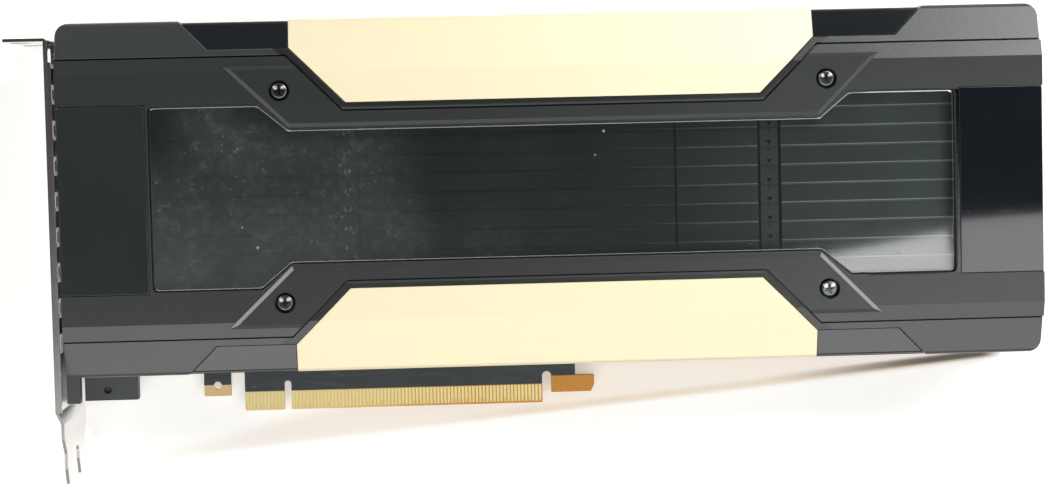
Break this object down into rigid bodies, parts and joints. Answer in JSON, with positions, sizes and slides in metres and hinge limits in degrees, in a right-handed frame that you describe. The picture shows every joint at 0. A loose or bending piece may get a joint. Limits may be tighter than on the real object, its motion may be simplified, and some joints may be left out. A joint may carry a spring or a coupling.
{
  "type": "passive accelerator card",
  "caption": "Full-length, double-width passive accelerator card with a card-edge connector, vented slot bracket, ducted shroud with a clear window, and a rear power inlet.",
  "frame": {"origin": "centre of the key notch on the card edge's lower end, in the board's middle plane", "axes": "+X along the card from the slot bracket to the rear end, +Y from the card edge to the top edge, +Z out of the shroud's face; the card lies on its back"},
  "size_m": [0.2783, 0.1239, 0.0391],
  "materials": {
    "bracket_steel": "brushed nickel-plated steel sheet",
    "screw_black": "black zinc-plated steel",
    "screw_steel": "zinc-plated steel",
    "board": "black solder mask over glass-epoxy board",
    "contact_gold": "hard gold plating",
    "frame_black": "fine spark-textured moulding",
    "cover_black": "fine spark-textured moulding",
    "champagne": "champagne satin anodised sheet",
    "gloss_black": "high-gloss moulding",
    "clear_panel": "smoked clear panel, lightly scuffed",
    "fin_black": "dark-plated aluminium fins",
    "copper": "bare copper",
    "cast_black": "black-coated casting",
    "package_green": "package laminate",
    "ring_steel": "nickel-plated ring",
    "silicon": "polished silicon",
    "ferrite": "pressed ferrite",
    "chip_black": "moulded chip package",
    "thermal_pad": "soft thermal pad",
    "socket_black": "moulded connector housing",
    "backplate_black": "black anodised sheet",
    "film": "polyester film",
    "spring_steel": "spring steel sheet"
  },
  "bodies": {
    "root": {"io_bracket": "bracket_steel", "bracket_screws": "screw_steel", "circuit_board": "board", "edge_contacts": "contact_gold", "centre_frame": "frame_black", "upper_edge_cover": "cover_black", "lower_edge_cover": "cover_black", "upper_gold_panel": "champagne", "lower_gold_panel": "champagne", "upper_front_gloss_trim": "gloss_black", "upper_rear_gloss_trim": "gloss_black", "lower_front_gloss_trim": "gloss_black", "lower_rear_gloss_trim": "gloss_black", "window_panel": "clear_panel", "left_end_plate": "gloss_black", "right_end_plate": "gloss_black", "shroud_screws": "screw_black", "front_fin_stack": "fin_black", "rear_fin_stack": "fin_black", "vapour_chamber": "copper", "base_plate": "cast_black", "package_substrate": "package_green", "package_ring": "ring_steel", "interposer": "silicon", "processor_die": "silicon", "memory_stacks": "silicon", "power_inductors": "ferrite", "power_stages": "chip_black", "bulk_capacitors": "chip_black", "controller_chips": "chip_black", "thermal_pads": "thermal_pad", "power_connector": "socket_black", "power_pins": "contact_gold", "backplate": "backplate_black", "backplate_screws": "screw_black", "board_spacers": "screw_steel", "insulator_film": "film", "spring_plate": "spring_steel", "spring_screws": "screw_steel"}
  },
  "joints": []
}
